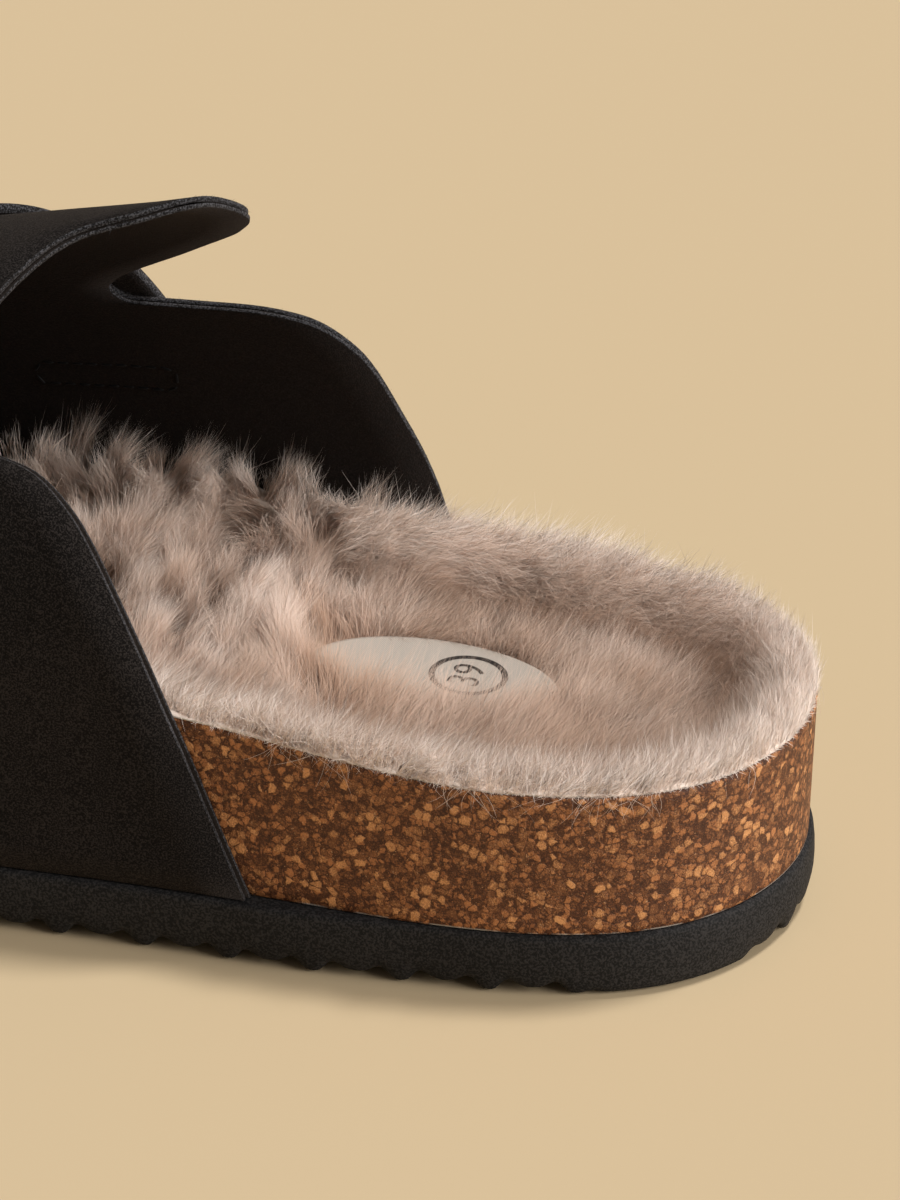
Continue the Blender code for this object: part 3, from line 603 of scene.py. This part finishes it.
def add_hair(name, x, y, away, width):
    """Hairs of the fur: root plus length times (s times first direction plus s^2 times droop), each drawn
    towards the root of its lock by a pull times s^1.4. They are held inside the wings, and drawn in at the
    heel's back by a share of how far they reach past its round."""
    count = len(x)
    lean_x, lean_y, rise, length, tufty = lay_of_hair(x, y, away)
    lock_x, lock_y, lock = nearest_lock(x, y, lock_size, 60)
    of_lock = np.random.default_rng(61)
    locks = lock_cells * lock_cells
    lock_turn = of_lock.normal(0, 1, (locks, 3))[lock] * (0.1 + 0.46 * tufty)[:, None]
    lock_long = 1 + of_lock.uniform(-1, 1, locks)[lock] * (0.06 + 0.22 * tufty)
    lock_light = of_lock.normal(0, 1, locks)[lock] * (0.06 + 0.2 * tufty)
    root = np.column_stack([x, y, underfur_height(x, y, away) - 0.5])
    first = np.column_stack([lean_x * 0.6, lean_y * 0.6, rise + 0.3]) + lock_turn
    first = first + rng.normal(0, 0.3, (count, 3)) * (1 - 0.4 * tufty)[:, None]
    first /= np.linalg.norm(first, axis=1)[:, None]
    sink = -0.42 + 0.35 * np.minimum(rise, 1.0)
    stray = rng.normal(0, 0.42, (count, 3)) * (1 - 0.4 * tufty)[:, None]
    droop = np.column_stack([lean_x * 0.55, lean_y * 0.55, sink]) + stray
    length = length * lock_long * (rng.uniform(0.72, 1.08, count) ** (1 - 0.5 * tufty))
    to_lock = np.column_stack([lock_x - x, lock_y - y, np.zeros(count)]) * (0.2 + 0.6 * tufty)[:, None]
    steps = np.array([0.0, 0.52, 1.0])
    s = steps[None, :, None]
    line = root[:, None] + length[:, None, None] * (s * first[:, None] + s**2 * droop[:, None] * 0.62)
    line = line + s**1.4 * to_lock[:, None]
    outer, inner = footbed_sides(line[..., 0])
    held = np.clip(line[..., 1], outer + wing_gap, inner - wing_gap)
    line[..., 1] = np.where(line[..., 0] > wing_start(y)[:, None], held, line[..., 1])
    behind = np.maximum(heel_depth - line[..., 0], 0.0)
    reach = np.hypot(behind / heel_depth, line[..., 1] / heel_half_width)
    past_edge = np.maximum(reach - 0.985, 0) / np.maximum(reach, 0.5)
    drawn_in = 0.65 * past_edge * smooth_step(behind / 25) * steps**0.5
    line[..., 0] += behind * drawn_in
    line[..., 1] *= 1 - drawn_in
    slope_x, slope_y = slope_of(lambda a, b: underfur_height(a, b, away_at(a, b)), x, y)
    in_x, in_y = slope_of(away_at, x, y)
    at_rim = np.exp(-((away / 7.4) ** 2))
    to_heel = 0.4 + 0.35 * tufty
    facing_x, facing_y = -slope_x - 0.1 * in_x * at_rim - to_heel, -slope_y - 0.1 * in_y * at_rim
    facing = np.column_stack([facing_x, facing_y, np.ones(count)]) + 0.8 * lock_turn
    facing /= np.linalg.norm(facing, axis=1)[:, None]
    lateral = smooth_step((-y + 10) / 22)
    # Painted shade: in the valley at the foot of the outer wall the hair is darker and shows more of its root
    # colour.
    valley_shade = np.exp(-(((away - 13.6) / 2.4) ** 2)) * lateral * smooth_step((96 - x) / 30)
    blotch_and_shade = (0.22 + 0.14 * tufty) * soft_noise(x, y, 6.5, 25) + 0.2 * soft_noise(x, y, 15, 26)
    blotch_and_shade = blotch_and_shade * (1 - 0.7 * at_rim)
    # Painted shade: three dark spots in hollows of the fur, two by the patch and one on the outer side.
    for shade_spot_x, shade_spot_y, shade_spot_size in ((74.0, -6.2, 3.2), (66.7, 8.3, 4.0), (88.4, -30.3, 4.5)):
        blotch_and_shade = blotch_and_shade - 0.5 * np.exp(-((x - shade_spot_x) ** 2 + (y - shade_spot_y) ** 2) / shade_spot_size**2)
    light = 0.17 + lock_light + blotch_and_shade + rng.normal(0, 0.08, count)
    # Paler at the rim: partly paler hair at the hide's edge, partly painted light; paler front tufts: painted
    # light.
    light = light - 0.68 * valley_shade + 1.05 * at_rim + 0.62 * tufty
    bare = 0.85 * np.exp(-((away / 5.0) ** 2))[:, None]
    along = steps[None] ** (1 + 1.1 * tufty[:, None]) * (1 - 0.8 * valley_shade[:, None])
    hair = add_strands(name, line, width, bare + (1 - bare) * along, light, facing)
    hair.data.materials.append(hair_finish)


for name, count, x_low, x_high, width in (
        ("fur_hair_heel", 60000, 0, 50, 0.062), ("fur_hair_seat", 60000, 0, 72, 0.062),
        ("fur_hair_waist", 60000, 48, 122, 0.066), ("fur_hair_arch", 56000, 60, 128, 0.066),
        ("fur_hair_toe", 15000, 122, 250, 0.26)):
    add_hair(name, *scatter_roots(count, x_low, x_high), width)


def along_rim(place, line):
    """Points of a closed rim line at places between its points, in straight lines."""
    low = np.floor(place).astype(int)
    share = (place - low)[:, None]
    return line[low % rim_points] * (1 - share) + line[(low + 1) % rim_points] * share


count = 3200
outward = np.column_stack([widened(outline, 1.0) - outline, np.zeros(rim_points)])
place = rng.uniform(-64, 80, count)
start = along_rim(place, hide_high) + rng.normal(0, 0.06, (count, 3))
away_from_hide = along_rim(place, outward)
way = 0.7 * away_from_hide + rng.normal(0, 0.6, (count, 3)) + np.array([0, 0, 0.1])
bend = np.array([0.0, 0.52, 1.0])[None, :, None]
long = rng.uniform(0.2, 0.65, count)[:, None, None]
line = start[:, None] + long * (bend * way[:, None] + bend**2 * rng.normal(0, 0.4, (count, 1, 3)))
fray = add_strands("fur_hide_fray", line, 0.085, 1.0, np.ones(count), away_from_hide + np.array([0, 0, 0.7]))
fray.data.materials.append(hair_finish)

count = 150
tangle = rng.choice([69.0, 64.0, 49.0, 34.0, 29.0], count, p=[0.1, 0.12, 0.22, 0.34, 0.22])
place = np.where(rng.random(count) < 0.78, rng.normal(tangle, 1.5), rng.uniform(-30, 72, count))
start = along_rim(place, hide_high) + np.array([0, 0, 0.1])
away_from_hide = along_rim(place, outward)
ahead = np.column_stack([-away_from_hide[:, 1], away_from_hide[:, 0], np.zeros(count)])
bend = np.linspace(0, 1, 7)[None, :, None]
long = rng.uniform(1.5, 6.0, count)[:, None, None]
first = away_from_hide * rng.uniform(0.2, 0.55, (count, 1)) + ahead * rng.normal(0, 0.55, (count, 1))
fall = np.column_stack([np.zeros((count, 2)), rng.uniform(-1.0, -0.45, count)]) - away_from_hide * 0.2
curl = ahead * rng.normal(0, 0.5, (count, 1))
line = start[:, None] + long * (bend * first[:, None] + bend**2 * fall[:, None] + bend**3 * curl[:, None])
strays = add_strands("fur_stray_hairs", line, 0.05, 0.8, rng.uniform(0.3, 1.0, count), away_from_hide)
strays.data.materials.append(hair_finish)


# Heel patch.
# A small oval of cream cotton weave, glued on the fur of the heel, with a printed ring and a size number.

patch_finish, s, shader = new_finish("cotton_weave", Roughness=0.9, Specular_IOR_Level=0.15)


def patch_height(x, y):
    """Surface of the patch: the cork plus the pressed fur under it, by an S of the edge distance."""
    away = edge_distance(x, y)
    return footbed_height(x, y, away) + 2 * clearance + 1.0 + 5.0 * smooth_step(away / 8.0) - 3.0


turn, reach = np.linspace(2 * np.pi, 0, 121)[None], np.linspace(0, 1, 25)[:, None]
px = patch_x + patch_half_length * reach * np.cos(turn)
py = patch_y + patch_half_width * reach * np.sin(turn)
oval = np.stack([px, py, patch_height(px, py)], -1)
patch = add_surface("heel_patch_weave", [oval], outward=False)
cloth = patch.modifiers.new("cloth", "SOLIDIFY")
cloth.thickness, cloth.offset = 0.0006, 1.0
where = s.node("ShaderNodeTexCoord", output=3)
thread_pitch = 0.00042
axes = [s.node("ShaderNodeSeparateXYZ", {0: where}, output=axis) for axis in (0, 1)]
warp, weft = (axis.maths("SINE", axis * (2 * math.pi / thread_pitch), 0.0) for axis in axes)
thread = (warp * weft + 1) * 0.5
fluff = where.noise(900, 4)
cotton = s.mix(thread * 0.7 + fluff * 0.3, (0.385, 0.33, 0.284, 1), (0.55, 0.486, 0.417, 1))
drive(s, shader, Base_Color=cotton,
      Normal=(thread + fluff * 0.4).bump(0.5, 0.0002))
patch.data.materials.append(patch_finish)
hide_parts("heel_patch")
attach(patch, "root")


ink = new_finish("printed_ink", Base_Color=(0.022, 0.017, 0.015, 1), Roughness=0.8, Specular_IOR_Level=0.2)[0]
ring_x, ring_y, ink_lift = 50.0, -3.4, 0.64
turn = np.linspace(0, 2 * np.pi, 97)[None]
radius = np.array([[4.75], [5.65]])
qx, qy = ring_x + radius * np.cos(turn), ring_y + radius * np.sin(turn)
ring = add_surface("patch_ring", [np.stack([qx, qy, patch_height(qx, qy) + ink_lift], -1)], outward=False)
writing = bpy.data.curves.new("size_number", "FONT")
writing.body, writing.size, writing.align_x, writing.align_y = "39", 6.4, "CENTER", "CENTER"
written = bpy.data.objects.new("size_number_text", writing)
bpy.context.scene.collection.objects.link(written)
bpy.context.view_layer.update()
digits = bpy.data.meshes.new_from_object(written.evaluated_get(bpy.context.evaluated_depsgraph_get()))
bpy.data.objects.remove(written)
flat = np.empty(len(digits.vertices) * 3, np.float32)
digits.vertices.foreach_get("co", flat)
flat = flat.reshape(-1, 3)
px, py = ring_x + flat[:, 1], ring_y - flat[:, 0]
placed = (np.column_stack([px, py, patch_height(px, py) + ink_lift]) - centre) * 0.001
digits.vertices.foreach_set("co", placed.astype(np.float32).ravel())
digits.update()
number = bpy.data.objects.new("patch_number", digits)
bpy.context.scene.collection.objects.link(number)
for print_piece in (ring, number):
    print_piece.data.materials.clear()
    print_piece.data.materials.append(ink)
    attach(print_piece, "root")


# Upper.
# Two layers of black felt laminated back to back, cut in one piece: an inner wing, an outer wing and a round
# tongue between two slits. It is pulled over the footbed and glued to the outsole; the cut edges are raw.

section_x = (50, 88, 100, 115, 140, 170, 200, 228, 258)
section_crown = (98.0, 95.6, 92.5, 88.7, 82.0, 73.0, 64.0, 58.0, 54.0)
section_ridge = (0.0, 0.0, 0.0, 0.0, 0.0, 1.0, 2.0, 2.0, 2.0)
section_fullness = (2.0, 2.0, 2.0, 2.0, 2.05, 2.15, 2.3, 2.4, 2.4)
rear_girth = (-30, 0, 14, 28, 34.5, 39, 50, 62, 88.5, 95, 103, 113, 121, 127, 133.5, 142, 144.8, 148.6,
              149.4, 150.9, 155.6, 166, 176, 210)
rear_x = (inner_wing_corner, 82.3, 89.0, 97.0, 103.0, 111.0, 121.0, 116.3, 106.2, 98.5, 93.2, 90.2, 88.0,
          90.4, 98.9, 111.5, 113.2, 110.2, 98.0, 84.0, 76.0, 69.4, 64.1, outer_wing_corner)
ridge_girth, wall_degrees, wall_above_rim = 90, 30.0, 1.3
nose_length, nose_power = 28.0, 2.6
feather = widened(outline, upper_reach(outline[:, 0]))
feather_toe = int(np.argmax(feather[:, 0]))
toe_x, toe_y = feather[feather_toe]


def upper_point(x, girth):
    """Outer face of the upper: an upright wall to the footbed's rim, then a superellipse arch over the ridge;
    near the toe all heights shrink by (1 - n^p)^(1/p) with n the share of the nose."""
    x, girth = np.broadcast_arrays(np.asarray(x, float), np.asarray(girth, float))
    nose = np.clip((x - (toe_x - nose_length)) / nose_length, 0, 1) ** nose_power
    closing = (1 - nose) ** (1 / nose_power)
    ridge = smooth_table(x, section_x, section_ridge)
    ridge = ridge + (toe_y - ridge) * nose
    fullness = smooth_table(x, section_x, section_fullness)
    crown = (smooth_table(x, section_x, section_crown) - outsole_height - clearance) * closing
    inner, outer = feather[: feather_toe + 1], np.vstack([feather[feather_toe:], feather[:1]])[::-1]
    is_inner = girth <= ridge_girth
    inner_side, outer_side = np.interp(x, inner[:, 0], inner[:, 1]), np.interp(x, outer[:, 0], outer[:, 1])
    inner_wall, outer_wall = smooth_table(x, footbed_x, inner_rim), smooth_table(x, footbed_x, outer_rim)
    side = np.where(is_inner, inner_side, outer_side)
    wall = (np.where(is_inner, inner_wall, outer_wall) + wall_above_rim) * closing
    arch = np.radians(np.clip(girth, 0, 180))
    down_wall = np.clip(np.maximum(-girth, girth - 180) / wall_degrees, 0, 1)
    y = ridge + (side - ridge) * np.abs(np.cos(arch)) ** (2 / fullness)
    up = np.abs(np.sin(arch)) ** (2 / fullness)
    z = outsole_height + clearance + spring(x) + wall * (1 - down_wall) + (crown - wall) * up
    return np.stack([x, y, z], -1)


def lifted(x, girth, lift):
    """Points off the upper's outer face along its normal, the cross of the two small steps on it."""
    along = upper_point(x + 0.2, girth) - upper_point(x - 0.2, girth)
    around = upper_point(x, girth + 0.2) - upper_point(x, girth - 0.2)
    normal = np.cross(around, along)
    normal /= np.maximum(np.linalg.norm(normal, axis=-1, keepdims=True), 1e-9)
    return upper_point(x, girth) + np.asarray(lift)[..., None] * normal


def felt_finish(name, dark, light):
    """Felt: a fine nap in colour and bump, with a slow mottle where it was brushed and a soft sheen."""
    material, s, shader = new_finish(name, Roughness=0.95, Specular_IOR_Level=0.12, Sheen_Weight=0.05,
                                     Sheen_Roughness=0.6, Sheen_Tint=(1.0, 0.8, 0.68, 1))
    where = s.node("ShaderNodeTexCoord", output=3)
    nap = where.noise(3800, 3, 0.65)
    brushed = where.noise(60, 4, 0.6)
    fleck = (nap * 0.88 + brushed * 0.12).within(0.45, 0.6)
    relief = (nap + brushed * 0.2).bump(0.7, 0.0003)
    drive(s, shader, Base_Color=s.mix(fleck, (*dark, 1), (*light, 1)), Normal=relief)
    return material


# Painted light: the cut edges are paler grey-blue than the faces, where their raw fibres catch the light.
cut_felt = felt_finish("felt_cut_edge", (0.004, 0.004, 0.0043), (0.075, 0.074, 0.08))


def felt_layer(piece, thickness, offset, finish):
    """Gives a felt surface its thickness in metres, its finish, and raw cut edges on the rim."""
    layer = piece.modifiers.new("layer", "SOLIDIFY")
    layer.thickness, layer.offset, layer.material_offset_rim = thickness, offset, 1
    piece.data.materials.append(finish)
    piece.data.materials.append(cut_felt)


steps = np.linspace(0, len(rear_x) - 1, 7 * (len(rear_x) - 1) + 1)
girth = smooth_table(steps, np.arange(len(rear_x)), rear_girth)
rear = smooth_table(steps, np.arange(len(rear_x)), rear_x)
to_toe = (1 - np.linspace(0, 1, 45)) ** 1.7
x = toe_x - (toe_x - rear)[None] * to_toe[:, None]
face = add_surface("upper_felt", [upper_point(x, girth[None])], outward=False)
black_felt = felt_finish("felt_black", (0.0004, 0.0003, 0.0003), (0.0235, 0.0195, 0.018))
felt_layer(face, 0.00075, -1.0, black_felt)
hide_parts("upper")
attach(face, "root")

x = toe_x - 0.3 - (toe_x - 0.3 - rear + 0.45)[None] * to_toe[:, None]
lining = add_surface("upper_lining", [lifted(x, girth[None], np.full(x.shape, -1.0))], outward=False)
lining_felt = felt_finish("felt_lining", (0.0066, 0.0047, 0.0037), (0.017, 0.0126, 0.0105))
felt_layer(lining, 0.0006, -1.0, lining_felt)
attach(lining, "root")


# Painted light: the fuzz on the cut edges is pale grey, where its loose fibres catch the light.
fuzz_finish = new_finish("felt_fuzz", Base_Color=(0.085, 0.084, 0.09, 1), Roughness=0.9,
                         Specular_IOR_Level=0.2)[0]
count = 4200
at = rng.uniform(0.02, 0.98, count) * (len(girth) - 1)
column = np.arange(len(girth))
fuzz_girth, fuzz_x = np.interp(at, column, girth), np.interp(at, column, rear)
next_girth, next_x = np.interp(at + 0.3, column, girth), np.interp(at + 0.3, column, rear)
edge_point = upper_point(fuzz_x, fuzz_girth)
edge_way = upper_point(next_x, next_girth) - edge_point
edge_up = lifted(fuzz_x, fuzz_girth, np.ones(count)) - edge_point
edge_out = np.cross(edge_way, edge_up)
edge_out /= np.linalg.norm(edge_out, axis=1)[:, None]
edge_out *= np.sign(-(edge_out * (upper_point(fuzz_x + 0.5, fuzz_girth) - edge_point)).sum(1) + 1e-9)[:, None]
depth = np.where(rng.random(count) < 0.5, rng.uniform(-0.75, 0.05, count), rng.uniform(-1.6, -1.0, count))
start = edge_point + edge_up * depth[:, None] - edge_out * 0.1
way = edge_out + rng.normal(0, 0.6, (count, 3))
bend = np.array([0.0, 0.52, 1.0])[None, :, None]
long = np.where(rng.random(count) < 0.02, rng.uniform(0.45, 0.8, count), rng.uniform(0.15, 0.38, count))
line = bend * way[:, None] + bend**2 * rng.normal(0, 0.4, (count, 1, 3))
line = start[:, None] + long[:, None, None] * line
fuzz = add_strands("upper_edge_fuzz", line, 0.04, 1.0, np.ones(count), edge_out)
fuzz.data.materials.append(fuzz_finish)


# Instep strap.
# A band of the same felt with round ends, lying over the upper across the outer slit. Two narrow boxes of
# stitches hold it, one on top of the instep and one on the outer wing, where they show inside too.

strap_half_width, strap_thickness, strap_gap = 14.0, 1.4, 0.3
strap_outer_girth, strap_inner_girth = 175.0, 70.0
strap_rear_x, strap_slant, slit_girth = 108.3, 0.44, 145.0
t = (1 - np.cos(np.linspace(0, np.pi, 91))) / 2
strap_girth = strap_outer_girth + (strap_inner_girth - strap_outer_girth) * t
middle = strap_rear_x + strap_slant * (slit_girth - strap_girth) + strap_half_width
line = upper_point(middle, strap_girth)
length = np.concatenate([[0], np.cumsum(np.linalg.norm(np.diff(line, axis=0), axis=1))])
to_end = np.minimum(length, length[-1] - length)
half_width = strap_half_width * np.sqrt(1 - np.clip(1 - to_end / strap_half_width, 0, 1) ** 2)
x = middle[:, None] + half_width[:, None] * np.linspace(-1, 1, 17)[None]
band = lifted(x, np.broadcast_to(strap_girth[:, None], x.shape), np.full(x.shape, strap_gap))
strap = add_surface("instep_strap_felt", [band], outward=False)
strap_felt = felt_finish("felt_strap", (0.0004, 0.0003, 0.0003), (0.0235, 0.0195, 0.018))
felt_layer(strap, strap_thickness * 0.001, 1.0, strap_felt)
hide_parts("instep_strap")
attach(strap, "root")


thread_finish = new_finish("sewing_thread", Base_Color=(0.004, 0.0035, 0.0034, 1), Roughness=0.7,
                           Specular_IOR_Level=0.3)[0]
stitch_pitch, stitch_half_length, thread_radius = 2.4, 0.95, 0.2


def add_stitches(name, centre_girth, half_long, half_high, lift):
    """Stitches round a narrow box with round ends across the strap: short capsules along two straight runs
    and two half circles, whose girth is the distance from the middle over the millimetres in a degree."""
    centre_x = np.interp(-centre_girth, -strap_girth, middle) + 1.4
    degree = upper_point(centre_x, centre_girth + 0.5) - upper_point(centre_x, centre_girth - 0.5)
    degree = np.linalg.norm(degree)
    straight = 2 * (half_long - half_high)
    side_and_end = straight + np.pi * half_high
    way = np.linspace(0, 2 * side_and_end, 720, endpoint=False)
    lap, back = way % side_and_end, np.where(way < side_and_end, 1.0, -1.0)
    turn = np.clip((lap - straight) / half_high, 0, np.pi)
    path_x = centre_x + back * (np.minimum(lap, straight) - straight / 2 + half_high * np.sin(turn))
    path_girth = centre_girth + back * half_high * np.cos(turn) / degree
    path = lifted(path_x, path_girth, np.full(len(turn), lift))
    arc = np.concatenate([[0], np.cumsum(np.linalg.norm(np.diff(path, axis=0), axis=1))])
    middles = np.arange(stitch_pitch / 2, arc[-1], stitch_pitch)
    mid = np.column_stack([np.interp(middles, arc, path[:, k]) for k in range(3)])
    tip = np.column_stack([np.interp(middles + 0.5, arc, path[:, k]) for k in range(3)]) - mid
    tip /= np.maximum(np.linalg.norm(tip, axis=1), 1e-9)[:, None]
    at_girth, at_x = np.interp(middles, arc, path_girth), np.interp(middles, arc, path_x)
    up = lifted(at_x, at_girth, np.ones(len(mid))) - upper_point(at_x, at_girth)
    side = np.cross(up, tip)
    turn = np.linspace(0, 2 * np.pi, 9)[None, None, :, None]
    share = np.linspace(-1, 1, 7)[None, :, None, None]
    thick = thread_radius * np.sqrt(np.clip(1 - share**4, 0, 1))
    shape = mid[:, None, None] + tip[:, None, None] * share * stitch_half_length
    shape = shape + thick * (np.cos(turn) * up[:, None, None] + np.sin(turn) * side[:, None, None])
    thread = add_surface(name, list(shape))
    thread.data.materials.append(thread_finish)
    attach(thread, "root")


for name, centre_girth, lift in (("strap_stitches_outer", 164.6, 1.75), ("strap_stitches_ridge", 79.0, 1.75),
                                 ("wing_stitches_inside", 164.6, -1.62)):
    add_stitches(name, centre_girth, 11.3, 2.0, lift)


# Floor, light and camera.
# A plain sand-coloured sheet, a soft key light from above and behind the heel's outer side, and a pale fill.

across = np.linspace(-4000, 4000, 9)
floor_x, floor_y = np.meshgrid(across, across, indexing="ij")
floor = add_surface("floor", [np.stack([floor_x, floor_y, np.zeros((9, 9))], -1)], outward=False)
floor_finish = new_finish("floor_sand", Base_Color=(0.6, 0.462, 0.288, 1), Roughness=0.9,
                          Specular_IOR_Level=0.0)[0]
bpy.context.scene.view_settings.view_transform = "Standard"
floor.data.materials.append(floor_finish)

for name, towards, strength, spread in (("overhead_softbox", (-0.22, -0.2, 0.955), 2.03, 10),
                                        ("heel_side_panel", (-0.9, 0.14, 0.42), 2.85, 40)):
    sun = bpy.data.lights.new(name, "SUN")
    sun.energy, sun.angle = strength, math.radians(spread)
    lamp = bpy.data.objects.new(name, sun)
    lamp.rotation_euler = Vector(towards).to_track_quat("Z", "Y").to_euler()
    bpy.context.scene.collection.objects.link(lamp)
world = bpy.data.worlds.new("studio")
world.use_nodes = True
world.node_tree.nodes["Background"].inputs["Color"].default_value = (1.0, 0.93, 0.85, 1)
world.node_tree.nodes["Background"].inputs["Strength"].default_value = 0.175
bpy.context.scene.world = world

azimuth, elevation, roll = math.radians(14.594), math.radians(28.504), math.radians(1.233)
aim, distance, focal_pixels, picture_height = np.array([52.024, 0.0, 40.792]), 957.04, 6840, 1200
level = math.cos(elevation)
forward = np.array([math.sin(azimuth) * level, -math.cos(azimuth) * level, -math.sin(elevation)])
right = np.array([-math.cos(azimuth), -math.sin(azimuth), 0.0])
above = np.cross(right, forward)
right, above = (right * math.cos(roll) + above * math.sin(roll),
                above * math.cos(roll) - right * math.sin(roll))
eye = (aim - forward * distance - centre) * 0.001
lens = bpy.data.cameras.new("camera")
lens.lens, lens.sensor_width = focal_pixels * 36 / picture_height, 36.0
lens.clip_end = 20.0
camera = bpy.data.objects.new("camera", lens)
camera.matrix_world = Matrix([[right[i], above[i], -forward[i], eye[i]] for i in range(3)] + [[0, 0, 0, 1]])
bpy.context.scene.collection.objects.link(camera)
bpy.context.scene.camera = camera
